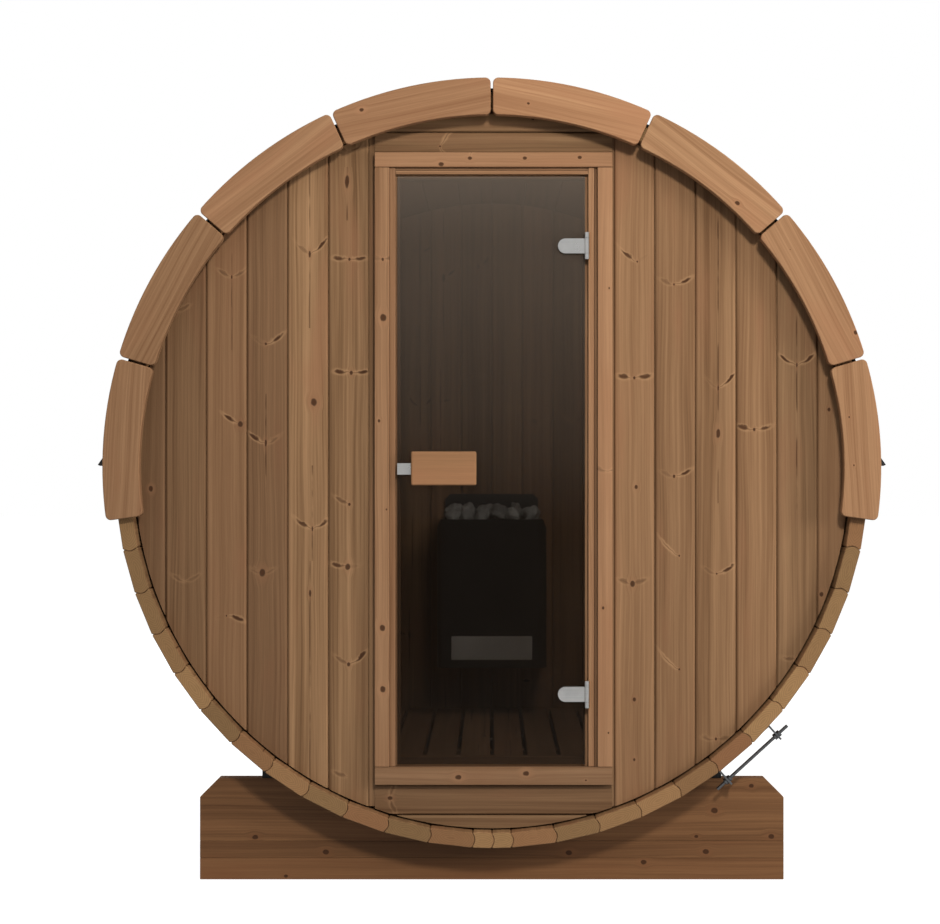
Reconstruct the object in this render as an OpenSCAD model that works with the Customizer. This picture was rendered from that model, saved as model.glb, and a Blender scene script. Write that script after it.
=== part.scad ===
// Barrel sauna: a cask of timber staves on two cradles, with boarded ends, a glass
// door, a shingled roof and a wall-hung heater. Millimetres, +Z up, the door faces -Y,
// origin on the ground under the middle of the barrel.

/* [Barrel] */
// Height of the barrel's axis above the ground
axis_z = 1106; // [1080:1:1140]
// Radius to the outside of the staves
stave_r = 1000; // [980:1:1005]
// Thickness of the staves
stave_t = 42; // [38:1:48]
// Length of the barrel
barrel_len = 1800; // [1700:10:2400]
// Thickness of the end walls
wall_t = 42; // [36:1:48]
// Distance from the stave ends to the face of an end wall
wall_inset = 35; // [25:1:60]

/* [Door] */
// Left edge of the door frame
frame_x0 = -312; // [-330:1:-305]
// Right edge of the door frame
frame_x1 = 321; // [315:1:335]
// Underside of the sill
frame_z0 = 271; // [260:1:280]
// Top of the door head
frame_z1 = 1954; // [1920:1:1965]
// Width of the frame members
frame_w = 40; // [36:1:46]
// Height of the sill
sill_h = 48; // [40:1:56]
// How far the frame stands out of the wall
frame_proud = 20; // [12:1:30]
// Thickness of the glass
glass_t = 8; // [6:1:10]
// Height of the hinges above the ground
hinge_z = [512, 1705];

/* [Heater] */
// Width of the heater
heater_w = 372; // [350:2:430]
// Depth of the heater
heater_d = 300; // [260:5:320]
// Height of the heater's underside above the ground
heater_z0 = 438; // [400:1:480]
// Height of the heater's rim above the ground
heater_z1 = 942; // [900:1:980]
// Sideways place of the heater's middle
heater_x = 0; // [-60:1:60]

/* [Roof] */
// Outer radius of the arched end trims
trim_r_out = 1027; // [1020:1:1034]
// Width of the end trims
trim_w = 98; // [90:1:102]
// Thickness of the end trims
trim_t = 28; // [22:1:36]
// Height of the trims' centre above the barrel's axis
trim_rise = 11; // [8:1:14]
// Thickness of the shingle covering
cover_t = 9; // [6:1:12]

/* [Cradles] */
// Length of a cradle plank
cradle_w = 1581; // [1500:1:1640]
// Height of a cradle plank
cradle_h = 274; // [250:1:300]
// Thickness of a cradle plank
cradle_t = 45; // [38:1:60]
// Distance from the stave ends to the face of a cradle
cradle_inset = 110; // [80:1:200]

/* [Hidden] */
$fn = 180;

gap = 0.3;                    // clearance between pieces that lie against each other
door_gap = 5;                 // clearance round the glass
inner_r = stave_r - stave_t;
half_len = barrel_len / 2;
wall_y = half_len - wall_inset;       // outer face of an end wall
wall_in_y = wall_y - wall_t;          // inner face of an end wall

// Staves: 52 full ones and two half ones that close the ring at the bottom
full_staves = 52;
half_stave_deg = 3;
stave_deg = (360 - 2 * half_stave_deg) / full_staves;
staves_a_group = 6;

// Door
lining_w = 15;                // width of the lining on the latch side
lining_hinge_w = 16;          // width of the lining on the hinge side
lining_head_h = 10;           // height of the lining under the head
lining_gap = 8;               // groove between the frame and the hinge side and head linings
lining_set = 9;               // lining's face behind the frame's face
open_x0 = frame_x0 + frame_w;
open_x1 = frame_x1 - frame_w;
open_z0 = frame_z0 + sill_h;
open_z1 = frame_z1 - frame_w;
clear_x0 = open_x0 + lining_w;
clear_x1 = open_x1 - lining_gap - lining_hinge_w;
clear_z1 = open_z1 - lining_gap - lining_head_h;
frame_y = -wall_y - frame_proud;      // front face of the frame
lining_y = frame_y + lining_set;
glass_y = lining_y + 2;               // front face of the glass
glass_x0 = clear_x0 + door_gap;
glass_x1 = clear_x1 - door_gap - 3;
glass_z0 = open_z0 + door_gap;
glass_z1 = clear_z1 - door_gap;
stop_y = glass_y + glass_t + door_gap;

// Hinges
pin_x = clear_x1 - 4;
pin_y = frame_y;
knuckle_r = 6.5;
pin_r = 3;
plate_h = 72;
tongue_h = 40;
tongue_x0 = glass_x1 - 73;
clamp_t = 7;

// Roof
trim_r_in = trim_r_out - trim_w;
trim_z = axis_z + trim_rise;
trims = 8;
trim_low_deg = -8.15;
trim_deg = (180 - 2 * trim_low_deg) / trims;
trim_gap = 6;
cover_r = stave_r + 2.4;
cover_low = 40;                // lower edge of the covering above the axis
band_r = stave_r + 0.3;
band_t = 1.5;
band_w = 30;
band_inset = 60;

// Band tensioner, at the lower right of each band
rod_deg = -47.7;
rod_len = 254;
rod_off = 38;
rod_r = 5;
lug_half_deg = 5.2;

module at_axis() { translate([0, 0, axis_z]) children(); }

// A prism along Y from y0 to y1 whose outline is drawn in X and Z
module along_y(y0, y1) {
    translate([0, y1, 0]) rotate([90, 0, 0]) linear_extrude(y1 - y0) children();
}

// A box from its lowest to its highest corner
module slab(a, b) { translate(a) cube(b - a); }

// One flat plank of the ring: its middle at angle a, deg wide
module stave(a, deg) {
    ro = stave_r;
    ri = inner_r / cos(deg / 2);
    h = deg / 2;
    side = gap / 2;
    at_axis() along_y(-half_len, half_len) rotate(a)
        polygon([[ri * cos(h), -ri * sin(h) + side], [ro * cos(h), -ro * sin(h) + side],
            [ro * cos(h), ro * sin(h) - side], [ri * cos(h), ri * sin(h) - side]]);
}

// Full staves number n0 to n1, counted from the bottom up the right side (side = 1)
// or the left side (side = -1)
module stave_run(side, n0, n1) {
    for (n = [n0:n1])
        stave(-90 + side * (half_stave_deg + (n + 0.5) * stave_deg), stave_deg);
}

module staves_bottom() {
    color("peru") {
        for (side = [-1, 1]) {
            stave(-90 + side * half_stave_deg / 2, half_stave_deg);
            stave_run(side, 0, 1);
        }
    }
}

// Group g of the staves above the bottom ones
module staves(side, g) {
    color(g % 2 == 0 ? "sandybrown" : "peru")
        stave_run(side, 2 + (g - 1) * staves_a_group, 1 + g * staves_a_group);
}

// The part of an end wall's disc between x0 and x1 and between z0 and z1
module wall_part(x0, x1, z0, z1) {
    intersection() {
        at_axis() along_y(-wall_y, -wall_in_y) circle(inner_r - 0.5);
        slab([x0, -half_len, z0], [x1, 0, z1]);
    }
}

module front_wall_left() {
    color("saddlebrown") wall_part(-stave_r, frame_x0 - gap, 0, 2 * axis_z);
}

module front_wall_right() {
    color("saddlebrown") wall_part(frame_x1 + gap, stave_r, 0, 2 * axis_z);
}

module front_wall_over_door() {
    color("sienna") wall_part(frame_x0, frame_x1, frame_z1 + gap, 2 * axis_z);
}

module front_wall_under_door() {
    color("sienna") wall_part(frame_x0, frame_x1, 0, frame_z0 - gap);
}

module back_wall() {
    color("saddlebrown") at_axis() along_y(wall_in_y, wall_y) circle(inner_r - 0.5);
}

// Door frame
module door_jamb_left() {
    color("tan") slab([frame_x0, frame_y, open_z0], [open_x0, -wall_in_y, open_z1]);
}

module door_jamb_right() {
    color("tan") slab([open_x1, frame_y, open_z0], [frame_x1, -wall_in_y, open_z1]);
}

module door_head() {
    color("burlywood") slab([frame_x0, frame_y, open_z1 + gap], [frame_x1, -wall_in_y, frame_z1]);
}

module door_sill() {
    color("burlywood") slab([frame_x0, frame_y, frame_z0], [frame_x1, -wall_in_y, open_z0 - gap]);
}

// Lining strips that stand beside the edges of the glass
module door_lining() {
    color("wheat") {
        slab([open_x0 + gap, lining_y, open_z0], [clear_x0, stop_y - gap, open_z1]);
        slab([clear_x1, lining_y, open_z0], [clear_x1 + lining_hinge_w, stop_y - gap, open_z1]);
        slab([clear_x0 + gap, lining_y, clear_z1], [clear_x1 - gap, stop_y - gap, open_z1 - lining_gap]);
    }
}

// Stops behind the glass
module door_stops() {
    lap = 12;
    color("peru") {
        slab([open_x0 + gap, stop_y, open_z0], [clear_x0 + lap, -wall_in_y, open_z1]);
        slab([clear_x1 - lap, stop_y, open_z0], [open_x1 - gap, -wall_in_y, open_z1]);
        slab([clear_x0 + lap + gap, stop_y, clear_z1 - lap], [clear_x1 - lap - gap, -wall_in_y, open_z1]);
        slab([clear_x0 + lap + gap, stop_y, open_z0], [clear_x1 - lap - gap, -wall_in_y, open_z0 + 2 * lap]);
    }
}

// Fixed half of a hinge: a plate on the lining, two knuckles and the pin
module hinge_plate() {
    plate_t = 3;
    front = glass_y + 3;
    difference() {
        union() {
            slab([clear_x1 - plate_t, pin_y, -plate_h / 2], [clear_x1 - gap, stop_y - 2, plate_h / 2]);
            translate([pin_x, pin_y, -plate_h / 2]) cylinder(r = knuckle_r, h = plate_h);
        }
        slab([pin_x - 20, pin_y - 20, -tongue_h / 2 - 0.5], [pin_x + 20, front, tongue_h / 2 + 0.5]);
    }
    translate([pin_x, pin_y, -plate_h / 2 + 1]) cylinder(r = pin_r, h = plate_h - 2);
}

module hinge_plates() {
    color("lightgray") for (z = hinge_z) translate([0, 0, z]) hinge_plate();
}

// Moving half of a hinge: a round-ended clamp on the glass and its knuckle
module hinge_clamp() {
    back_end = clear_x1 - 26;
    difference() {
        union() {
            translate([0, glass_y - gap, 0]) rotate([90, 0, 0]) linear_extrude(clamp_t) {
                translate([tongue_x0 + tongue_h / 2, 0]) circle(d = tongue_h);
                translate([tongue_x0 + tongue_h / 2, -tongue_h / 2])
                    square([pin_x - tongue_x0 - tongue_h / 2, tongue_h]);
            }
            translate([pin_x, pin_y, -tongue_h / 2]) cylinder(r = knuckle_r, h = tongue_h);
        }
        translate([pin_x, pin_y, -tongue_h]) cylinder(r = pin_r + 0.08, h = 2 * tongue_h);
    }
    translate([0, glass_y + glass_t + gap + 4, 0]) rotate([90, 0, 0]) linear_extrude(4) {
        translate([tongue_x0 + tongue_h / 2, 0]) circle(d = tongue_h);
        translate([tongue_x0 + tongue_h / 2, -tongue_h / 2])
            square([back_end - tongue_x0 - tongue_h / 2, tongue_h]);
    }
}

module hinge_clamps() {
    color("silver") for (z = hinge_z) translate([0, 0, z]) hinge_clamp();
}

module door_glass() {
    color([0.25, 0.2, 0.17, 0.6])
        slab([glass_x0, glass_y, glass_z0], [glass_x1, glass_y + glass_t, glass_z1]);
}

// Handles: a block with rounded corners on each side of the glass
handle_x = [-214, -41];
handle_z = [1068, 1158];
handle_t = 34;
module handle_block(y0, y1) {
    round_r = 4;
    along_y(y0, y1) translate([handle_x[0] + round_r, handle_z[0] + round_r])
        offset(r = round_r, $fn = 32)
            square([handle_x[1] - handle_x[0] - 2 * round_r, handle_z[1] - handle_z[0] - 2 * round_r]);
}

module door_handle_outer() {
    color("navajowhite") handle_block(glass_y - gap - handle_t, glass_y - gap);
}

module door_handle_inner() {
    color("navajowhite")
        handle_block(glass_y + glass_t + gap, glass_y + glass_t + gap + handle_t);
}

// Steel latch plate between the handle and the edge of the glass
module door_latch() {
    color("silver")
        slab([glass_x0, glass_y - gap - 9, 1096], [handle_x[0] - gap, glass_y - gap, 1127]);
}

// Arched trim number n, counted from the right-hand side up and over
module trim(n, y0) {
    a = trim_low_deg + (n + 0.5) * trim_deg;
    half = trim_deg / 2;
    side = trim_gap / 2;
    r = 14;
    translate([0, 0, trim_z]) along_y(y0, y0 + trim_t) rotate(a)
        offset(r = r, $fn = 32) offset(delta = -r) intersection() {
            difference() {
                circle(trim_r_out, $fn = 240);
                circle(trim_r_in, $fn = 240);
            }
            polygon([[side / sin(half), 0],
                [2 * stave_r, 2 * stave_r * tan(half) - side / cos(half)],
                [2 * stave_r, -2 * stave_r * tan(half) + side / cos(half)]]);
        }
}

module front_trims_left() {
    color("sandybrown") for (n = [trims / 2:trims - 1]) trim(n, -half_len - gap - trim_t);
}

module front_trims_right() {
    color("sandybrown") for (n = [0:trims / 2 - 1]) trim(n, -half_len - gap - trim_t);
}

module back_trims() {
    color("sandybrown") for (n = [0:trims - 1]) trim(n, half_len + gap);
}

// Shingle covering over the upper half of the staves
module roof_cover() {
    color("dimgray") at_axis() along_y(-half_len, half_len) difference() {
        circle(cover_r + cover_t);
        circle(cover_r);
        translate([-2 * stave_r, -2 * stave_r + cover_low]) square([4 * stave_r, 2 * stave_r]);
    }
}

// Folded drip edges that kick out below the lowest shingles
module drip_edges() {
    x = cover_r;
    top = cover_low - gap;
    color("black") for (side = [-1, 1]) at_axis() along_y(-half_len, half_len)
        polygon([for (p = [[0, 0], [14, 0], [30, -6], [42, -23], [36, -26], [24, -11], [18, -7],
            [2, -7], [2, -36], [0, -36]]) [side * (x + p[0]), top + p[1]]]);
}

// Steel bands round the staves, open at their tensioners
module steel_bands() {
    color("dimgray") for (y = [-half_len + band_inset, half_len - band_inset])
        at_axis() along_y(y - band_w / 2, y + band_w / 2) difference() {
            circle(band_r + band_t);
            circle(band_r);
            rotate(rod_deg) polygon([[0, 0], [1.2 * stave_r, -1.2 * stave_r * tan(lug_half_deg)],
                [1.2 * stave_r, 1.2 * stave_r * tan(lug_half_deg)]]);
        }
}

// Threaded rod, two angle lugs and four nuts, about the middle of the rod
module tensioner() {
    nut_r = 9.5;
    lug_x = (stave_r - 15) * sin(lug_half_deg) ;
    rotate([0, 90, 0]) translate([0, 0, -rod_len / 2]) cylinder(r = rod_r, h = rod_len, $fn = 48);
    for (side = [-1, 1]) translate([side * lug_x, 0, 0]) {
        slab([-2.5, -band_w / 2, -rod_off + 4], [2.5, band_w / 2, 14]);
        for (s = [-1, 1]) translate([s * 6.5 - 4, 0, 0]) rotate([0, 90, 0])
            cylinder(r = nut_r, h = 8, $fn = 6);
    }
}

module band_tensioners() {
    color("gray") for (y = [-half_len + band_inset, half_len - band_inset])
        translate([0, y, axis_z]) rotate([0, -rod_deg, 0]) translate([stave_r + rod_off, 0, 0])
            rotate([0, 90, 0]) tensioner();
}

// A cradle glued up from two full boards and two wings that are hollowed to the barrel
module cradle(y0) {
    joints = [58, 104];
    corner = 51;
    wing_x = 110;
    w = cradle_w / 2;
    slab([-w, y0, 0], [w, y0 + cradle_t, joints[0]]);
    slab([-w, y0, joints[0] + gap], [w, y0 + cradle_t, joints[1]]);
    for (side = [-1, 1]) along_y(y0, y0 + cradle_t) difference() {
        polygon([[side * wing_x, joints[1] + gap], [side * w, joints[1] + gap],
            [side * w, cradle_h - corner], [side * (w - corner), cradle_h],
            [side * wing_x, cradle_h]]);
        translate([0, axis_z]) circle(stave_r + 0.5);
    }
}

module cradle_front() { color("sienna") cradle(-half_len + cradle_inset); }

module cradle_back() { color("sienna") cradle(half_len - cradle_inset - cradle_t); }

// Black chocks in the corners between the cradles and the barrel
module cradle_chocks() {
    end_x = 622;
    color("black") for (side = [-1, 1], y = [-half_len + cradle_inset + 4,
            half_len - cradle_inset - cradle_t + 4])
        along_y(y, y + cradle_t - 8) difference() {
            polygon([[side * 500, cradle_h + gap], [side * end_x, cradle_h + gap],
                [side * end_x, cradle_h + 40], [side * 500, cradle_h + 40]]);
            translate([0, axis_z]) circle(stave_r + 0.5);
        }
}

// Slatted floor on cross bearers
floor_z = 262;
slat_t = 24;
slat_w = 88;
slat_pitch = 100;
slats = 8;
module floor_slats() {
    color("burlywood") for (n = [0:slats - 1]) {
        x = (n - (slats - 1) / 2) * slat_pitch;
        slab([x - slat_w / 2, -wall_in_y + 6, floor_z - slat_t], [x + slat_w / 2, wall_in_y - 6, floor_z]);
    }
}

module floor_bearers() {
    bearer_h = 50;
    top = floor_z - slat_t - gap;
    color("peru") for (y = [-wall_in_y + 80, -22, wall_in_y - 124]) intersection() {
        slab([-(slats / 2) * slat_pitch, y, top - bearer_h], [(slats / 2) * slat_pitch, y + 44, top]);
        at_axis() along_y(-half_len, half_len) circle(inner_r - 1);
    }
}

// Heater, hung a little in front of the back wall
heater_back = wall_in_y - 24;
heater_front = heater_back - heater_d;
stone_tray_z = heater_z1 - 90;
module heater_plan(inset = 0) {
    r = 30;
    translate([heater_x - heater_w / 2 + r, heater_front + r])
        offset(r = r - inset, $fn = 32) square([heater_w - 2 * r, heater_d - 2 * r]);
}

module heater_body() {
    slope = [12, 28];
    w = heater_w / 2;
    color([0.13, 0.13, 0.14]) difference() {
        intersection() {
            translate([0, 0, heater_z0]) linear_extrude(heater_z1 - heater_z0) heater_plan();
            translate([heater_x, 0, 0]) along_y(heater_front, heater_back)
                polygon([[-w, heater_z0], [w, heater_z0], [w, heater_z1 - slope[1]],
                    [w - slope[0], heater_z1], [-w + slope[0], heater_z1], [-w, heater_z1 - slope[1]]]);
        }
        translate([0, 0, stone_tray_z]) linear_extrude(200) heater_plan(20);
    }
}

// Heat shield that stands up behind the stones
module heater_guard() {
    top = heater_z1 + 83;
    w = heater_w / 2 - 22;
    color([0.1, 0.1, 0.11]) translate([heater_x, 0, 0]) along_y(heater_back + gap, heater_back + 4)
        polygon([[-w, heater_z0 + 40], [w, heater_z0 + 40], [w, top - 16], [w - 16, top],
            [-w + 16, top], [-w, top - 16]]);
}

module heater_panel() {
    w = 137;
    color("silver") slab([heater_x - w, heater_front - 3 - gap, heater_z0 + 28],
        [heater_x + w, heater_front - gap, heater_z0 + 108]);
}

module heater_stones() {
    color("gray") {
        translate([0, 0, stone_tray_z + gap]) linear_extrude(heater_z1 + 14 - stone_tray_z)
            heater_plan(21);
        translate([0, 0, heater_z1 + 14 + 2 * gap]) linear_extrude(32) heater_plan(29);
    }
}

module heater_brackets() {
    color("gray") for (x = [heater_x - 110, heater_x + 80])
        slab([x, heater_back + 4 + gap, heater_z0 + 60], [x + 30, wall_in_y - gap, heater_z1 - 40]);
}

staves_bottom();
staves(-1, 1);  // staves_left_1
staves(-1, 2);  // staves_left_2
staves(-1, 3);  // staves_left_3
staves(-1, 4);  // staves_left_4
staves(1, 1);  // staves_right_1
staves(1, 2);  // staves_right_2
staves(1, 3);  // staves_right_3
staves(1, 4);  // staves_right_4
front_wall_left();
front_wall_right();
front_wall_over_door();
front_wall_under_door();
back_wall();
door_jamb_left();
door_jamb_right();
door_head();
door_sill();
door_lining();
door_stops();
hinge_plates();
door_glass();
hinge_clamps();
door_handle_outer();
door_handle_inner();
door_latch();
front_trims_left();
front_trims_right();
back_trims();
roof_cover();
drip_edges();
steel_bands();
band_tensioners();
cradle_front();
cradle_back();
cradle_chocks();
floor_slats();
floor_bearers();
heater_body();
heater_guard();
heater_panel();
heater_stones();
heater_brackets();
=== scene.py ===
# Barrel sauna: staves, boarded ends, glass door, shingled roof and heater, built round the
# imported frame. Metres, +Z up, the door faces -Y.
import math
import random

import bmesh
import bpy
import numpy as np
from mathutils import Matrix, Vector


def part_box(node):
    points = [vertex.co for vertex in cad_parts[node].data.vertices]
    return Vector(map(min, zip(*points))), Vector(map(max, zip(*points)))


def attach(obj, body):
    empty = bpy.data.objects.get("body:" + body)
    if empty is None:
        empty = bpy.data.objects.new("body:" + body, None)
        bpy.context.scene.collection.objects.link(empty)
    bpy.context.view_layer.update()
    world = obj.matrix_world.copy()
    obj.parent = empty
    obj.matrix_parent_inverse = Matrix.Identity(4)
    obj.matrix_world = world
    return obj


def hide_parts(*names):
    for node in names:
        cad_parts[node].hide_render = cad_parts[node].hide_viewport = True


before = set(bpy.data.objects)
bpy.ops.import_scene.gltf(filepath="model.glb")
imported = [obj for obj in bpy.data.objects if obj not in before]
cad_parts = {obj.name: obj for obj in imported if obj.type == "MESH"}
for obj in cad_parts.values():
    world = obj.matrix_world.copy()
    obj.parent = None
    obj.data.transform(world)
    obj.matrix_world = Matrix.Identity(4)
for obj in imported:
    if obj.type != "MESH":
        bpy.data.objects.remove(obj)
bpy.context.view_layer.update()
scene = bpy.context.scene

# ---- sizes, from the frame
CABIN, DOOR = "cabin", "door"
AXIS = Vector((0, 0, 1.106))
STAVE_R = 1.000                # to the corners of the staves' outer faces
STAVE_T = 0.042
WALL_R = 0.9535                # a shadow gap shows round each end wall
BOARD = 0.1087                 # cover width of a wall board
HALF_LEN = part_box("staves_left_1")[1].y
WALL_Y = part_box("front_wall_left")[0].y
WALL_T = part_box("front_wall_left")[1].y - WALL_Y
FRAME_LOW, FRAME_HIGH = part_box("door_sill")[0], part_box("door_head")[1]
GLASS_LOW, GLASS_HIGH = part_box("door_glass")


def srgb(red, green, blue):
    """A colour given as 0 to 255 on screen, as linear light."""
    def linear(c):
        c = c / 255
        return c / 12.92 if c <= 0.04045 else ((c + 0.055) / 1.055) ** 2.4
    return (linear(red), linear(green), linear(blue), 1.0)


# ---- camera
def add_camera():
    distance = 5.0             # from the stave ends
    view_width = 2.491         # seen at the stave ends
    data = bpy.data.cameras.new("camera")
    data.sensor_width = 36
    data.lens = data.sensor_width * distance / view_width
    data.shift_x = -0.0578 / view_width
    data.shift_y = 0.0240 / view_width
    data.clip_end = 80
    camera = bpy.data.objects.new("camera", data)
    camera.location = (0, -HALF_LEN - distance, AXIS.z)
    camera.rotation_euler = (math.radians(90), 0, 0)
    scene.collection.objects.link(camera)
    scene.camera = camera


add_camera()


# ---- node trees
class Number:
    """A number in a node tree. Arithmetic with it adds math nodes to the tree."""

    def __init__(self, tree, socket):
        self.tree, self.socket = tree, socket

    def __abs__(self):
        return self.tree.math("ABSOLUTE", self)

    def __gt__(self, other):
        return self.tree.math("GREATER_THAN", self, other)


def add_operator(word, operation):
    """Lets Number take part in a sum with the operator on either side of it."""
    setattr(Number, f"__{word}__", lambda a, b: a.tree.math(operation, a, b))
    setattr(Number, f"__r{word}__", lambda a, b: a.tree.math(operation, b, a))


for word, operation in (("add", "ADD"), ("sub", "SUBTRACT"), ("mul", "MULTIPLY"),
                        ("truediv", "DIVIDE"), ("mod", "MODULO"), ("pow", "POWER")):
    add_operator(word, operation)


class Tree:
    """Adds nodes to a shader or geometry tree, and links any socket handed in as a value."""

    def __init__(self, nodes):
        self.tree = nodes

    def add(self, kind, *values, named=None, **settings):
        made = self.tree.nodes.new(kind)
        for key, value in settings.items():
            setattr(made, key, value)
        for socket, value in zip(made.inputs, values):
            self.feed(socket, value)
        for name, value in (named or {}).items():
            self.feed(made.inputs[name], value)
        return made

    def out(self, kind, *values, **settings):
        """Adds a node and gives its first output."""
        return self.add(kind, *values, **settings).outputs[0]

    def feed(self, socket, value):
        if isinstance(value, Number):
            value = value.socket
        if isinstance(value, bpy.types.NodeSocket):
            self.tree.links.new(value, socket)
        elif value is not None:
            socket.default_value = value

    def math(self, operation, *values):
        return Number(self, self.out("ShaderNodeMath", *values, operation=operation))

    def join(self, x=0.0, y=0.0, z=0.0):
        return self.out("ShaderNodeCombineXYZ", x, y, z)

    def split(self, vector):
        return [Number(self, part) for part in self.add("ShaderNodeSeparateXYZ", vector).outputs]

    def scaled(self, vector, factors):
        return self.out("ShaderNodeVectorMath", vector, factors, operation="MULTIPLY")

    def remap(self, value, low, high, to_low=0.0, to_high=1.0, kind="LINEAR"):
        return Number(self, self.out("ShaderNodeMapRange", value, low, high, to_low, to_high,
                                     interpolation_type=kind))

    def fade(self, value, low, high, to_low=0.0, to_high=1.0):
        return self.remap(value, low, high, to_low, to_high, "SMOOTHSTEP")


class Shader(Tree):
    """A material's tree with its surface shader."""

    def __init__(self, name, roughness=0.5, metallic=0.0, specular=0.5):
        self.material = bpy.data.materials.new(name)
        self.material.use_nodes = True
        super().__init__(self.material.node_tree)
        self.surface = self.tree.nodes["Principled BSDF"]
        self.surface.inputs["Roughness"].default_value = roughness
        self.surface.inputs["Metallic"].default_value = metallic
        self.surface.inputs["Specular IOR Level"].default_value = specular

    def attribute(self, name, output="Fac"):
        return Number(self, self.add("ShaderNodeAttribute", attribute_name=name).outputs[output])

    def chance(self, *place):
        """A random number from 0 to 1 for each place."""
        return Number(self, self.add("ShaderNodeTexWhiteNoise", self.join(*place)).outputs["Value"])

    def place(self):
        return self.add("ShaderNodeTexCoord").outputs["Object"]

    def noise(self, vector, scale=1.0, detail=3.0, roughness=0.55, seed=None):
        made = self.add("ShaderNodeTexNoise", noise_dimensions="3D" if seed is None else "4D",
            named={"Vector": vector, "Scale": scale, "Detail": detail, "Roughness": roughness})
        if seed is not None:
            self.feed(made.inputs["W"], seed)
        return Number(self, made.outputs[0])

    def mix(self, share, a, b, kind="MIX"):
        made = self.add("ShaderNodeMix", data_type="RGBA", blend_type=kind)
        for index, value in ((0, share), (6, a), (7, b)):
            self.feed(made.inputs[index], value)
        return made.outputs[2]

    def shaded(self, colour, brightness):
        """The colour times a brightness, which may be a socket."""
        return self.mix(1.0, colour, self.join(brightness, brightness, brightness), "MULTIPLY")

    def bump(self, height, depth, strength=1.0):
        made = self.add("ShaderNodeBump", named={"Strength": strength, "Distance": depth,
            "Height": height})
        self.feed(self.surface.inputs["Normal"], made.outputs[0])

    def finish(self, colour, roughness=None):
        self.feed(self.surface.inputs["Base Color"], colour)
        if roughness is not None:
            self.feed(self.surface.inputs["Roughness"], roughness)
        return self.material


# ---- wood
class Wood(Shader):
    """Softwood that reads each board's own attributes: grain is the place along, across and
    through the board, board its number, tone its brightness, and end is 1 on end grain."""

    def placed_marks(self):
        """Branch marks as the boards' mesh places them."""
        u, v, dot = self.split(self.attribute("mark", "Vector"))
        lift, left, right = self.split(self.attribute("arms", "Vector"))
        return u, v, dot, lift, left, right, self.attribute("pith")

    def scattered_marks(self, along, across, board, spacing, spread, share, arms):
        """One branch mark at random in each length of spacing."""
        place = along / spacing
        length = self.math("FLOOR", place)
        first, second = (
            self.split(self.add("ShaderNodeTexWhiteNoise",
                                self.join(length, board, layer)).outputs["Color"])
            for layer in (2.0, 5.0))
        own = self.chance(board, 1.0, 9.0)
        u = place - length - self.remap(first[0], 0.0, 1.0, 0.25, 0.75)
        u = u * spacing
        v = across - self.remap(first[1], 0.0, 1.0, -spread / 2, spread / 2)
        dot = self.remap(first[2], 1.0 - share, 1.0, 0.0, 0.0058)
        lift = self.remap(second[0], 0.0, 1.0, 0.05, 0.9)
        left, right = (self.remap(second[k], 0.35, 0.9, -0.4 * arms, arms) for k in (1, 2))
        return u, v, dot, lift, left, right, own > (0.75 if arms else 2.0)


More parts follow.
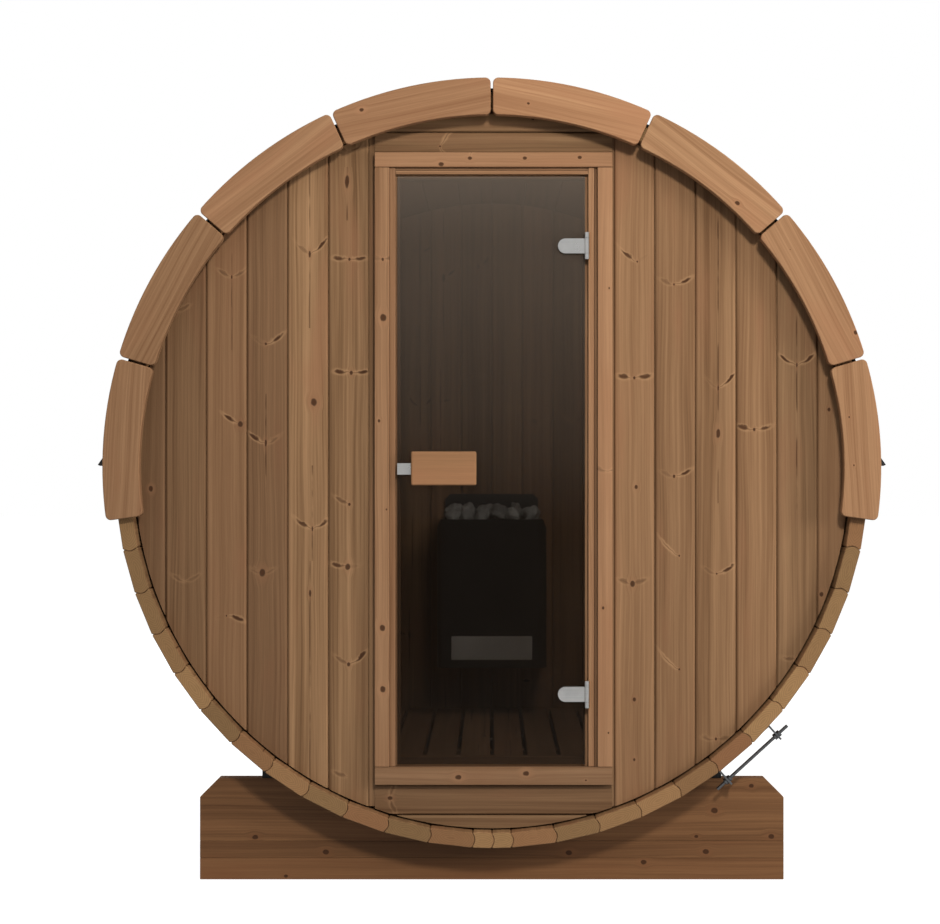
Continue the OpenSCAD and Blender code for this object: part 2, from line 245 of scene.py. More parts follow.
def wood(name, light, dark, red, end, contrast=1.0, roughness=0.62, placed=False, spacing=0.46,
        spread=0.06, share=0.55, arms=1.0):
    """Softwood with growth bands, fibres, a pith crack, branch arms and dot knots."""
    s = Wood(name, specular=0.22)
    along, across, through = s.split(s.attribute("grain", "Vector"))
    board = s.math("ROUND", s.attribute("board"))
    tone = s.attribute("tone")
    is_end = s.attribute("end")
    u, v, dot, lift, left, right, pith = (
        s.placed_marks() if placed
        else s.scattered_marks(along, across, board, spacing, spread, share, arms))

    # distance from a dot knot, in its own radii; a knot on a pith crack is drawn out along it
    wobble = s.noise(s.join(u, v, through), 42.0, 2, seed=board)
    radius = s.math("MAXIMUM", dot, 0.0001)
    tall = u / (radius * (pith * 1.8 + 1.3))
    wide_off = v / radius
    far = s.math("SQRT", tall * tall + wide_off * wide_off)
    far = far + (wobble * 1.3 - 0.65)
    has_dot = dot > 0.0009
    core = s.fade(far, 1.25, 0.5) * has_dot
    rim = s.fade(abs(far - 0.85), 0.4, 0.0) * has_dot
    halo = s.fade(far, 3.6, 1.0) * has_dot

    # a branch cut lengthwise: an arm that rises from the pith and ends in a dark dash.
    # A negative strength draws the pale arm alone.
    reach = abs(v)
    rise = reach * lift * (reach * 9.0 + 0.55)
    sway = wobble * 0.016 - 0.008
    off_arm = abs(u - rise + sway)
    on_right = v > 0.0
    side = left * (1.0 - on_right) + right * on_right
    strength, dark_side = abs(side), s.math("MAXIMUM", side, 0.0)
    dash_at = strength * 0.019 + 0.012
    past = reach - dash_at

    def spindle(length, width, ragged):
        a, b = past / length, off_arm / width
        e = s.math("SQRT", a * a + b * b)
        return e + (wobble * ragged - ragged / 2)

    dash = s.fade(spindle(0.0135, 0.0062, 2.2), 1.25, 0.5) * dark_side
    pale_dash = s.fade(spindle(0.026, 0.0095, 0.8), 1.3, 0.5) * strength
    thin = off_arm / (reach * 0.05 + 0.0012)
    before_end = s.fade(past, 0.022, 0.004)
    stem = s.fade(thin, 1.5, 0.2) * strength * before_end
    stem_glow = s.fade(thin, 3.6, 1.0) * strength * before_end

    # the grain bends round knots and drops along the arms
    bend = s.fade(far, 4.5, 0.8) * has_dot
    across = across - v * (bend * 0.8)
    drift = s.noise(s.join(along * 1.2, across * 6.0, through), 1.0, 2, seed=board)
    across = across + (drift * 0.036 - 0.018)

    def streaks(length, width, detail=3.0, roughness=0.55):
        return s.noise(s.join(along * length, across * width, through * width), 1.0, detail,
            roughness, board)

    wide, bands = streaks(0.5, 17.0, 2), streaks(0.8, 75.0, 4, 0.62)
    lines, fibre = streaks(2.2, 260.0, 2), streaks(14.0, 900.0, 2, 0.7)
    blotch = streaks(2.6, 12.0, 2)
    heart = s.math("SQRT", abs(across) ** 2.0 + (abs(through) + 0.03) ** 2.0)
    rings = s.math("SINE", heart * (2 * math.pi / 0.0055))

    grain = (wide - 0.5) * 1.3 + (bands - 0.5) * 1.5
    grain = grain + (lines - 0.5) * 0.9
    grain = grain + rings * 0.05
    depth = grain * contrast + 0.5
    colour = s.mix(s.remap(depth, 0.0, 1.0), dark, light)
    colour = s.mix(s.fade(blotch, 0.48, 0.75, 0.0, 0.55), colour, red)
    end_tone = s.remap(rings + bands * 1.5, -0.8, 2.2, 0.72, 1.06)
    own_hue = s.chance(board, 4.0, 4.0)
    own_end = s.mix(s.remap(own_hue, 0.55, 0.95, 0.0, 0.7), end, s.shaded(red, 1.15))
    colour = s.mix(is_end * 0.9, colour, s.shaded(own_end, end_tone))
    colour = s.mix(s.remap(own_hue, 0.4, 1.0, 0.0, 0.28), colour, s.shaded(red, 1.15))
    shade = tone * s.remap(fibre, 0.2, 0.8, 0.9, 1.1)
    colour = s.shaded(colour, shade)

    # marks: pale glow, brown arms, pith crack and knots
    on_face = 1.0 - is_end
    split_noise = s.noise(s.join(along * 6.0, 0.0, 0.0), 1.0, 3, seed=board)
    waver = split_noise * 0.006 - 0.003
    crack = s.fade(abs(v + waver), 0.0030, 0.0006)
    crack = crack * pith * s.fade(split_noise, 0.42, 0.56, 0.0, 1.0)
    pale = s.shaded(s.mix(0.7, colour, light), 1.22)
    brown, deep = srgb(58, 33, 17), srgb(28, 16, 8)
    for mask, share, tint in (
            (pale_dash, 0.50, pale), (stem_glow, 0.50, pale), (stem, 0.50, brown),
            (crack, 0.75, brown), (halo, 0.3, red), (dash, 0.92, brown), (core, 0.9, brown),
            (rim, 0.55, deep)):
        colour = s.mix(mask * share * on_face, colour, tint)

    ridge = fibre * 0.35 + bands * 0.8
    s.bump(ridge - (core + dash + crack), 0.0007, 0.5)
    return s.finish(colour, s.remap(fibre, 0.2, 0.8, roughness - 0.08, roughness + 0.1))


# ---- other finishes
def brushed(name, colour, roughness=0.32, streak=(6.0, 6.0, 900.0)):
    """Steel with fine brush lines and faint smears."""
    s = Shader(name, roughness, 1.0)
    lines = s.noise(s.scaled(s.place(), streak), 1.0, 3, 0.6)
    smear = s.noise(s.place(), 23.0, 3)
    shade = s.remap(lines, 0.3, 0.7, -0.06, 0.06) + s.remap(smear, 0.3, 0.7, 0.9, 1.04)
    s.bump(lines, 0.0001, 0.4)
    return s.finish(s.shaded(colour, shade),
                    s.remap(smear, 0.3, 0.7, roughness - 0.06, roughness + 0.1))


def painted(name, colour, worn, roughness=0.45, scale=900.0):
    """Powder coat: orange peel, dust and rubbed spots."""
    s = Shader(name, roughness)
    peel = s.noise(s.place(), scale, 2)
    dust = s.noise(s.place(), 9.0, 5, 0.65)
    rub = s.fade(s.noise(s.place(), 60.0, 4, 0.7), 0.62, 0.78)
    tone = s.mix(s.remap(dust, 0.4, 0.75, 0.0, 0.5), colour, worn)
    tone = s.mix(rub * 0.35, tone, worn)
    s.bump(peel, 0.0002, 0.5)
    return s.finish(tone, s.remap(dust, 0.3, 0.7, roughness - 0.08, roughness + 0.12))


def granules(name):
    """Mineral granules on bitumen shingles, each tab with its own tone."""
    s = Shader(name, 0.95)
    tone = s.attribute("tone")
    grit = s.add("ShaderNodeTexVoronoi", named={"Vector": s.place(), "Scale": 420.0}).outputs
    speck = s.split(grit["Color"])[0]
    patch = s.noise(s.place(), 7.0, 4)
    shade = tone * (s.remap(speck, 0.0, 1.0, 0.45, 1.25) + s.remap(patch, 0.3, 0.7, -0.18, 0.22))
    s.bump(grit["Distance"], 0.0012, 0.8)
    return s.finish(s.shaded(srgb(50, 50, 52), shade))


def stone(name):
    """Split olivine: grey rock with pits and pale grains."""
    s = Shader(name, 0.85)
    tone = s.attribute("tone")
    coarse = s.noise(s.place(), 38.0, 6, 0.7)
    grain = s.noise(s.place(), 420.0, 3, 0.6)
    shade = tone * (s.remap(coarse, 0.25, 0.75, 0.6, 1.2) + s.remap(grain, 0.3, 0.7, -0.15, 0.15))
    s.bump(coarse + grain * 0.3, 0.004, 0.9)
    return s.finish(s.shaded(srgb(150, 146, 138), shade))


def rubber(name):
    s = Shader(name, 0.8)
    speck = s.noise(s.place(), 260.0, 4)
    s.bump(speck, 0.0005, 0.6)
    return s.finish(s.mix(s.remap(speck, 0.3, 0.8), srgb(22, 21, 20), srgb(44, 42, 40)))


def tinted_glass(name):
    """Bronze glass: see-through, with a brown body; painted reflection makes it lighter towards the
    top.
    """
    s = Shader(name, 0.04, specular=0.1)
    height = s.split(s.place())[2]
    mottle = s.noise(s.place(), 2.6, 4, 0.6)
    # painted reflection: the colour runs from dark brown low down to pale brown high up, jittered by
    # the mottle
    rise = s.remap(height, 1.0, 2.0) + s.remap(mottle, 0.3, 0.7, -0.03, 0.03)
    colour = s.mix(s.remap(rise, 0.0, 1.0), srgb(19, 14, 9), srgb(84, 75, 66))
    # painted highlight: a brighter band along the top of the pane
    colour = s.shaded(colour, s.remap(height, 1.72, 1.90, 1.0, 1.45))
    s.surface.inputs["Alpha"].default_value = 0.5
    s.surface.inputs["IOR"].default_value = 1.5
    return s.finish(colour, s.remap(mottle, 0.3, 0.8, 0.02, 0.07))


MATERIALS = {
    "wall": wood("wall_boards", srgb(149, 115, 82), srgb(94, 67, 43), srgb(130, 91, 64),
                 srgb(140, 104, 68), 0.95, placed=True),
    "back": wood("back_boards", srgb(149, 115, 82), srgb(94, 67, 43), srgb(130, 91, 64),
                 srgb(140, 104, 68), 0.95),
    "stave": wood("stave_wood", srgb(150, 114, 78), srgb(100, 71, 46), srgb(136, 92, 62),
                  srgb(148, 114, 76), 0.85),
    "trim": wood("trim_wood", srgb(171, 132, 96), srgb(120, 83, 55), srgb(153, 107, 76),
                 srgb(150, 110, 74), 1.0, spacing=0.24, spread=0.07, share=0.5, arms=0.0),
    "frame": wood("frame_wood", srgb(160, 122, 89), srgb(112, 78, 52), srgb(144, 102, 72),
                  srgb(150, 110, 74), 1.05, placed=True),
    "cradle": wood("cradle_wood", srgb(130, 92, 60), srgb(84, 55, 33), srgb(114, 74, 47),
                   srgb(136, 98, 60), 0.9, placed=True),
    "handle": wood("handle_wood", srgb(158, 117, 82), srgb(124, 87, 58), srgb(148, 101, 70),
                   srgb(150, 112, 76), 0.6, 0.5, share=0.0, arms=0.0),
    "floor": wood("floor_wood", srgb(150, 116, 84), srgb(106, 76, 52), srgb(130, 90, 64),
                  srgb(150, 114, 78), 0.8),
    "steel": brushed("satin_steel", srgb(224, 223, 220)),
    "band": brushed("band_steel", srgb(128, 130, 133), 0.42, (900.0, 6.0, 6.0)),
    "rod": brushed("rod_steel", srgb(126, 128, 130), 0.38, (40.0, 40.0, 40.0)),
    "black": painted("black_metal", srgb(30, 30, 31), srgb(52, 51, 49)),
    "panel": painted("panel_paint", srgb(172, 166, 156), srgb(138, 132, 122)),
    "shingle": granules("shingles"),
    "stones": stone("stones"),
    "rubber": rubber("black_rubber"),
    "glass": tinted_glass("bronze_glass"),
}


# ---- making pieces
def piece(name, mesh):
    made = bpy.data.objects.new(name, mesh)
    scene.collection.objects.link(made)
    return made


def declare(made, finish, body, *nodes):
    """Gives a finished piece its finish and body, and the nodes that it stands for."""
    made.data.materials.clear()
    made.data.materials.append(MATERIALS[finish])
    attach(made, body)
    if nodes:
        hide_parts(*nodes)
    return made


def joined(name, pieces):
    """Several pieces as one."""
    bpy.ops.object.select_all(action="DESELECT")
    for part in pieces:
        part.select_set(True)
    bpy.context.view_layer.objects.active = pieces[0]
    bpy.ops.object.join()
    pieces[0].name = pieces[0].data.name = name
    return pieces[0]


def with_modifiers(made):
    """Keeps what a piece's modifiers make of it as its plain mesh."""
    graph = bpy.context.evaluated_depsgraph_get()
    mesh = bpy.data.meshes.new_from_object(made.evaluated_get(graph),
        preserve_all_data_layers=True, depsgraph=graph)
    made.modifiers.clear()
    mesh.name = made.name
    made.data = mesh
    return made


def smoothed(made, degrees=35):
    """Smooth shading that keeps flat faces flat and sharp corners sharp."""
    made.data.shade_smooth()
    made.data.set_sharp_from_angle(angle=math.radians(degrees))
    made.modifiers.new("even", "WEIGHTED_NORMAL").keep_sharp = True
    return with_modifiers(made)


def ease_edges(mesh, width, steps=2, degrees=35):
    """Rounds over a mesh's sharp edges."""
    sharp = [e for e in mesh.edges
             if len(e.link_faces) == 2 and e.calc_face_angle(0) > math.radians(degrees)]
    bmesh.ops.bevel(mesh, geom=sharp, offset=width, segments=steps, profile=0.5, affect="EDGES",
        clamp_overlap=True)
    return mesh


def prism(outline, y0, y1, ease=0.002, steps=2):
    """A solid from y0 to y1 over a closed outline in X and Z, with eased edges."""
    mesh = bmesh.new()
    face = mesh.faces.new([mesh.verts.new((x, y0, z)) for x, z in outline])
    made = bmesh.ops.extrude_face_region(mesh, geom=[face])
    far = [g for g in made["geom"] if isinstance(g, bmesh.types.BMVert)]
    bmesh.ops.translate(mesh, verts=far, vec=(0, y1 - y0, 0))
    bmesh.ops.recalc_face_normals(mesh, faces=mesh.faces)
    return ease_edges(mesh, ease, steps) if ease else mesh


def block(low, high, ease=0.002, steps=2):
    """A box between two corners with eased edges."""
    mesh = bmesh.new()
    bmesh.ops.create_cube(mesh, size=1)
    low, high = Vector(low), Vector(high)
    bmesh.ops.scale(mesh, verts=mesh.verts, vec=high - low)
    bmesh.ops.translate(mesh, verts=mesh.verts, vec=(low + high) / 2)
    return ease_edges(mesh, ease, steps) if ease else mesh


def arc(radius, start, stop, steps, centre=(0.0, 0.0)):
    """Points on a circle in X and Z, angles in radians."""
    turns = [start + (stop - start) * k / steps for k in range(steps + 1)]
    return [(centre[0] + radius * math.cos(turn), centre[1] + radius * math.sin(turn))
            for turn in turns]


def write(mesh, name, domain, values):
    """Stores a number or a vector for each point, corner or face."""
    values = np.array(values, np.float32)
    kind, key = ("FLOAT_VECTOR", "vector") if values.ndim == 2 else ("FLOAT", "value")
    mesh.attributes.new(name, kind, domain).data.foreach_set(key, values.ravel())


SAW = 0.0003                   # gap where two boards meet
# the way along a board, and the way across its face
UPRIGHT = (0, 0, 1), (1, 0, 0)
LEVEL = (1, 0, 0), (0, 0, 1)


class Timber:
    """Collects boards in one mesh, each with its grain, tone and branch marks."""

    def __init__(self, seed, tones=(0.92, 1.08)):
        self.random = random.Random(seed)
        self.tones = tones
        self.verts, self.faces, self.grain = [], [], []
        self.tone, self.number, self.pith, self.end = [], [], [], []
        self.mark, self.arms = [], []

    def board(self, mesh, place, along, across, marks=(), tone=None):
        """Adds a board: place is its middle, along and across its directions. A mark is
        (along, across, lift, left, right, dot, pith) from the board's middle."""
        tone = self.random.uniform(*self.tones) if tone is None else tone
        number = self.random.randint(1, 900)
        place, along, across = Vector(place), Vector(along), Vector(across)
        turn = Matrix((along, across, along.cross(across)))
        marks = sorted(marks)
        cuts = [(a[0] + b[0]) / 2 for a, b in zip(marks, marks[1:])]
        for cut in cuts:
            bmesh.ops.bisect_plane(mesh, geom=mesh.verts[:] + mesh.edges[:] + mesh.faces[:],
                plane_co=place + along * cut, plane_no=along)
        mesh.verts.index_update()
        first = len(self.verts)
        for vertex in mesh.verts:
            self.verts.append(vertex.co.copy())
            self.grain.append(turn @ (vertex.co - place))
            self.tone.append(tone)
            self.number.append(number)
        for face in mesh.faces:
            self.faces.append([first + vertex.index for vertex in face.verts])
            at = (turn @ (face.calc_center_median() - place)).x
            mark = marks[sum(at > cut for cut in cuts)] if marks else (9, 0, 0, 0, 0, 0, 0)
            self.end.append(1.0 if abs(face.normal.dot(along)) > 0.8 else 0.0)
            self.pith.append(mark[6])
            for vertex in face.verts:
                local = turn @ (vertex.co - place)
                self.mark.append((local.x - mark[0], local.y - mark[1], mark[5]))
                self.arms.append(mark[2:5])
        mesh.free()

    def beam(self, low, high, ease=0.0025, tone=None, marks=(), facing=None):
        """Adds a straight board along the box's longest side, its face across the axis
        called facing, or else across the shortest side."""
        low, high = Vector(low), Vector(high)
        size = high - low
        order = sorted(range(3), key=lambda k: (k == facing, -size[k]))
        along, across = (Vector([float(k == n) for k in range(3)]) for n in order[:2])
        self.board(block(low, high, ease), (low + high) / 2, along, across, marks, tone)

    def build(self, name):
        mesh = bpy.data.meshes.new(name)
        mesh.from_pydata(self.verts, [], self.faces)
        write(mesh, "grain", "POINT", self.grain)
        write(mesh, "tone", "POINT", self.tone)
        write(mesh, "board", "POINT", self.number)
        write(mesh, "mark", "CORNER", self.mark)
        write(mesh, "arms", "CORNER", self.arms)
        write(mesh, "pith", "FACE", self.pith)
        write(mesh, "end", "FACE", self.end)
        return smoothed(piece(name, mesh))

    def master(self, name):
        """A board for a geometry tree to copy; each copy gets its own number and tone."""
        made = self.build(name)
        for layer in ("board", "tone", "mark", "arms", "pith"):
            made.data.attributes.remove(made.data.attributes[layer])
        return made


def metal(name, meshes):
    """One piece from several small solids."""
    whole = bmesh.new()
    for mesh in meshes:
        part = bpy.data.meshes.new("part")
        mesh.to_mesh(part)
        mesh.free()
        whole.from_mesh(part)
        bpy.data.meshes.remove(part)
    data = bpy.data.meshes.new(name)
    whole.to_mesh(data)
    whole.free()
    return smoothed(piece(name, data))


def eased_copy(name, node, width, steps=2, degrees=35):
    """A copy of a CAD node with its sharp edges rounded over."""
    mesh = bmesh.new()
    mesh.from_mesh(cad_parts[node].data)
    bmesh.ops.remove_doubles(mesh, verts=mesh.verts, dist=1e-5)
    bmesh.ops.dissolve_limit(mesh, angle_limit=math.radians(0.5), verts=mesh.verts,
        edges=mesh.edges)
    ease_edges(mesh, width, steps, degrees)
    return metal(name, [mesh])


# ---- geometry trees
class Pattern(Tree):
    """A geometry tree with named inputs; it ends in real geometry with its finish set."""

    KINDS = {"piece": "NodeSocketObject", "size": "NodeSocketFloat", "count": "NodeSocketInt",
             "place": "NodeSocketVector", "finish": "NodeSocketMaterial"}

    def __init__(self, name, **inputs):
        super().__init__(bpy.data.node_groups.new(name, "GeometryNodeTree"))
        face = self.tree.interface
        for key, kind in dict(inputs, finish="finish").items():
            face.new_socket(key, in_out="INPUT", socket_type=self.KINDS[kind])
        face.new_socket("geometry", in_out="OUTPUT", socket_type="NodeSocketGeometry")
        given = self.add("NodeGroupInput").outputs
        self.inputs = {socket.name: Number(self, socket) for socket in given}

    def source(self, key="piece"):
        return self.add("GeometryNodeObjectInfo", self.inputs[key]).outputs["Geometry"]

    def index(self):
        return Number(self, self.out("GeometryNodeInputIndex"))

    def chance(self, low, high, seed, salt=0):
        """A random number for each point or copy."""
        seed = seed + float(salt)
        made = self.add("FunctionNodeRandomValue", data_type="FLOAT")
        for socket, value in ((2, low), (3, high), (7, self.index()), (8, seed)):
            self.feed(made.inputs[socket], value)
        return Number(self, made.outputs[1])

    def spread(self, geometry, move):
        return self.out("GeometryNodeSetPosition", named={"Geometry": geometry, "Position": move})

    def store(self, geometry, name, value, domain="INSTANCE"):
        return self.out("GeometryNodeStoreNamedAttribute", data_type="FLOAT", domain=domain,
            named={"Geometry": geometry, "Name": name, "Value": value})

    def points(self, count):
        return self.out("GeometryNodeMeshLine", mode="OFFSET",
            named={"Count": count, "Offset": (0, 0, 0)})

    def copies(self, points, shape, rotation=None, scale=None):
        return self.out("GeometryNodeInstanceOnPoints", named={
            "Points": points, "Instance": shape, "Rotation": rotation, "Scale": scale})

    def bent(self, flat, side=1.0, start=-9.0):
        """Flat geometry laid round the barrel: x becomes the way round from the top, and z
        height off the cover. It is cut off at start and at the end that is an input."""
        i = self.inputs
        x, y, z = self.split(self.out("GeometryNodeInputPosition"))
        turn, out = x / i["radius"], i["radius"] + i["rise"] + z
        along = self.math("MAXIMUM", self.math("MINIMUM", y, i["end"]), start)
        return self.spread(flat, self.join(self.math("SINE", turn) * out * side, along,
                                           self.math("COSINE", turn) * out + AXIS.z))

    def close(self, geometry, warp=None):
        real = self.out("GeometryNodeRealizeInstances", geometry)
        if warp:
            real = warp(real)
        dressed = self.out("GeometryNodeSetMaterial",
            named={"Geometry": real, "Material": self.inputs["finish"]})
        self.add("NodeGroupOutput", dressed)
        return self.tree


def grow(name, tree, finish, **sizes):
    """Runs a geometry tree and keeps its result as a plain mesh."""
    made = piece(name, bpy.data.meshes.new(name))
    maker = made.modifiers.new("maker", "NODES")
    maker.node_group = tree
    sizes["finish"] = MATERIALS[finish]
    for socket in tree.interface.items_tree:
        if socket.in_out == "INPUT" and socket.name in sizes:
            maker[socket.identifier] = sizes[socket.name]
    return smoothed(with_modifiers(made))


def ring_pattern():
    """Copies of a segment round the barrel, each with its own number, and a tone of its own plus
    drift times its place in the ring; on the front trims that drift is painted light.
    """
    t = Pattern("ring", piece="piece", first="size", step="size", count="count", centre="place",
        low="size", high="size", drift="size", seed="count")
    turn = t.index() * t.inputs["step"] + t.inputs["first"]
    points = t.spread(t.points(t.inputs["count"]), t.inputs["centre"])
    ring = t.copies(points, t.source(), t.join(0.0, turn * -1.0, 0.0))
    ring = t.store(ring, "board", t.math("ROUND", t.chance(1.0, 900.0, t.inputs["seed"])))
    own = t.chance(t.inputs["low"], t.inputs["high"], t.inputs["seed"], 50)
    # drift steps the tone copy by copy: on the front trims it is painted light, not a tone of the
    # wood
    ring = t.store(ring, "tone", t.index() * t.inputs["drift"] + own)
    return t.close(ring)


def row_pattern():
    """Copies of a board side by side."""
    t = Pattern("row", piece="piece", pitch="size", count="count", low="size", high="size",
        seed="count")
    middle = (t.inputs["count"] - 1.0) * 0.5
    x = (t.index() - middle) * t.inputs["pitch"]
    row = t.copies(t.spread(t.points(t.inputs["count"]), t.join(x)), t.source())
    row = t.store(row, "board", t.math("ROUND", t.chance(1.0, 900.0, t.inputs["seed"])))
    row = t.store(row, "tone", t.chance(t.inputs["low"], t.inputs["high"], t.inputs["seed"], 50))
    return t.close(row)


RING, ROW = ring_pattern(), row_pattern()


# ---- staves
FULL_STAVES = 52
HALF_STAVE = math.radians(3)
STAVE = (2 * math.pi - 2 * HALF_STAVE) / FULL_STAVES
BOTTOM = -math.pi / 2


def stave_piece(width):
    """One stave about the barrel's axis at angle 0, with a bead on one edge and a cove on the
    other. width is its angle."""
    chamfer, gap, bead = 0.003, 0.0004, 0.0060
    half = width / 2
    outer = STAVE_R * math.cos(half)
    inner = STAVE_R - STAVE_T

    def edge(sign):
        """From the outer to the inner face along one edge."""
        points = [(outer, sign * (STAVE_R * math.sin(half) - gap - chamfer))]
        for k in range(9):
            r = outer - chamfer - (outer - inner - 2 * chamfer) * k / 8
            bulge = bead * math.sin(math.pi * k / 8)
            points.append((r, sign * (r * math.tan(half) - gap) + bulge))
        points.append((inner, sign * (inner * math.tan(half) - gap - chamfer)))
        return points

    outline = edge(-1) + edge(1)[::-1]
    centre = ((outer + inner) / 2, 0.0)
    size = (outer - inner, 2 * inner * math.tan(half))
    rows = []
    for y, inset in ((-HALF_LEN, 0.0015), (-HALF_LEN + 0.0015, 0), (HALF_LEN - 0.0015, 0),
            (HALF_LEN, 0.0015)):
        rows.append([(centre[0] + (x - centre[0]) * (1 - 2 * inset / size[0]), y,
            z * (1 - 2 * inset / size[1])) for x, z in outline])
    count = len(outline)
    verts = [point for row in rows for point in row]
    faces = [[r * count + k, (r + 1) * count + k, (r + 1) * count + (k + 1) % count,
        r * count + (k + 1) % count] for r in range(3) for k in range(count)]
    faces += [list(range(count)), [3 * count + k for k in reversed(range(count))]]
    mesh = bpy.data.meshes.new("stave")
    mesh.from_pydata(verts, [], faces)
    mesh.validate()
    shape = bmesh.new()
    shape.from_mesh(mesh)
    bmesh.ops.recalc_face_normals(shape, faces=shape.faces)
    shape.to_mesh(mesh)
    write(mesh, "grain", "POINT", [(y, z, x - centre[0]) for x, y, z in verts])
    write(mesh, "end", "FACE", [float(abs(f.normal.y) > 0.8) for f in mesh.polygons])
    return piece("stave", mesh)


def build_staves():
    full, half = stave_piece(STAVE), stave_piece(HALF_STAVE)

    def run(name, shape, first, count, step, seed):
        return grow(name, RING, "stave", piece=shape, first=first, step=step, count=count,
            centre=AXIS, low=0.68, high=1.02, drift=0.0, seed=seed)

    start = HALF_STAVE + STAVE / 2
    bottom = [run("bottom_halves", half, BOTTOM - HALF_STAVE / 2, 2, HALF_STAVE, 3)]
    bottom += [run("bottom_run", full, BOTTOM + side * start, 2, side * STAVE, 5 + side) for side
        in (-1, 1)]
    declare(joined("bottom_staves", bottom), "stave", CABIN, "staves_bottom")
    for word, side in (("left", -1), ("right", 1)):
        for group in range(4):
            first = BOTTOM + side * (start + (2 + 6 * group) * STAVE)
            made = run(f"{word}_staves_{group + 1}", full, first, 6, side * STAVE,
                11 + 10 * group + side)
            declare(made, "stave", CABIN, f"staves_{word}_{group + 1}")
    for shape in (full, half):
        bpy.data.objects.remove(shape)


build_staves()


# ---- end walls
GROOVE = 0.0075                # rounding on each long edge of a board
JOINT = 0.0011                 # gap at the bottom of a groove


def wall_edge(x):
    """Height of the wall's round edge above and below the axis at x."""
    return math.sqrt(max(WALL_R ** 2 - x * x, 0.0))


def grooved(outline, y0, y1, run, level):
    """A board over an outline, rounded along the edges that run along one axis and are level
    in the other."""
    mesh = prism(outline, y0, y1, 0)
    ends = [(e, e.verts[0].co, e.verts[1].co) for e in mesh.edges]
    long_edges = [e for e, a, b in ends
                  if abs(a[level] - b[level]) < 1e-5 and abs(a[run] - b[run]) > 0.02]
    bmesh.ops.bevel(mesh, geom=long_edges, offset=GROOVE, segments=3, profile=0.5, affect="EDGES")
    return mesh


def round_board(x0, x1, y0, y1):
    """An upright board whose ends follow the barrel."""
    x0, x1 = x0 + JOINT / 2, x1 - JOINT / 2
    xs = [max(-WALL_R + 0.0004, min(WALL_R - 0.0004, x0 + (x1 - x0) * k / 6)) for k in range(7)]
    bottom = [(x, AXIS.z - wall_edge(x)) for x in xs]
    top = [(x, AXIS.z + wall_edge(x)) for x in reversed(xs)]
    return grooved(bottom + top, y0, y1, run=2, level=0)


def flat_board(x0, x1, y0, y1, low, high):
    """A level board between two heights, cut to the barrel where it is narrower."""
    near = low if abs(low - AXIS.z) < abs(high - AXIS.z) else high
    if AXIS.z - wall_edge(x0) > high or AXIS.z + wall_edge(x0) < low:
        reach = math.sqrt(WALL_R ** 2 - (near - AXIS.z) ** 2) - 0.003
        x0, x1 = max(x0, -reach), min(x1, reach)
    xs = [x0 + (x1 - x0) * k / 16 for k in range(17)]
    bottom = [(x, max(low, AXIS.z - wall_edge(x))) for x in xs]
    top = [(x, min(high, AXIS.z + wall_edge(x))) for x in reversed(xs)]
    return grooved(bottom + top, y0, y1, run=0, level=2)


# Branch marks as (along the board, across it, dot, lift, left arm, right arm, pith crack), in mm,
# with zeros at the end left out. Those on the front boards run from the door outwards.
LEFT_MARKS = [
    [(1957, -382, 0, 0.7, 0.5, 0.5), (1878, -386, 5, 0, 0, 0, 1), (1671, -380, 3, 0.1, 0.9, 0.9),
     (1368, -375, 4, 0.1, 1, 1), (1017, -380, 3, 0.6, 0.6), (850, -384, 6, 0.2, 0.9, 0.2),
     (590, -382, 4, 0.7, 0.5, 1), (290, -385, 0, 0.4, 0.5)],
    [(1685, -486, 3, 0.9, 0.4, 1, 0.8), (1290, -475, 7), (952, -479, 2, 0.6, 0.9, 0.9, 1),
     (780, -485, 3, 0, 0, 0, 0.8)],
    [(1445, -603, 3, 0.6, 0.2, 1), (1180, -603, 3, 0.6, 1, 0.4, 1), (834, -612, 8, 0.4, 0.3, 0.3)],
    [(1624, -694, 2, 0.6, 0.5, 0.5, 0.7), (1232, -671, 6, 0.6, 1, 0.2),
     (720, -708, 2, -0.3, 0.1, 1)],
    [(1533, -846, 5, 0.4, 0.2, 0.5), (812, -817, 0, 0.5, 0.4, 0.4)],
    [(1058, -910, 5)],
]
RIGHT_MARKS = [
    [(1665, 388, 2, 0.8, 0.9, 0.1), (1355, 380, 3, 0.1, 0.9, 0.9), (1064, 385, 4),
     (806, 375, 6, 0.3, 0.5, 0.5), (497, 380, 4), (336, 380, 3)],
    [(1604, 486, 2, 0.4, 0.4, 1), (1092, 486, 3, 0.4, 0.3, 1), (880, 500, 2, 0.9, -1),
     (577, 500, 2, 0.9, -1)],
    [(1328, 604, 2, 0.9, 0.2, 1, 1), (1208, 604, 5, 0, 0, 0, 0.6), (832, 600, 2, 0.5, 0.3, 1),
     (391, 598, 3, 0.1, 0.4, 0.4)],
    [(1217, 700, 3, 0.2, 0.9, 0.9)],
    [(1389, 814, 2, 0.6, 1, 1, 1), (604, 815, 3, 0.1, 0.5, 0.5)],
    [(1270, 900, 4), (777, 880, 5)],
]
# Each front board's brightness, from the door outwards: partly its own tone and partly painted
# shade, which darkens the outer boards on the left and the last boards by the trims on the right.
LEFT_TONES_AND_SHADE = (1.00, 1.12, 0.68, 0.87, 0.73, 0.58)
RIGHT_TONES_AND_SHADE = (0.99, 0.94, 0.97, 1.02, 0.83, 0.90)


def from_middle(marks, along=0.0, across=0.0):
    """Marks as a board measures them, in metres, when its middle is at along and across in mm."""
    made = []
    for mark in marks:
        far, wide, dot, lift, left, right, pith = (mark + (0,) * 5)[:7]
        made.append(((far - along) / 1000, (wide - across) / 1000, lift, left, right, dot / 1000,
                     pith))
    return made


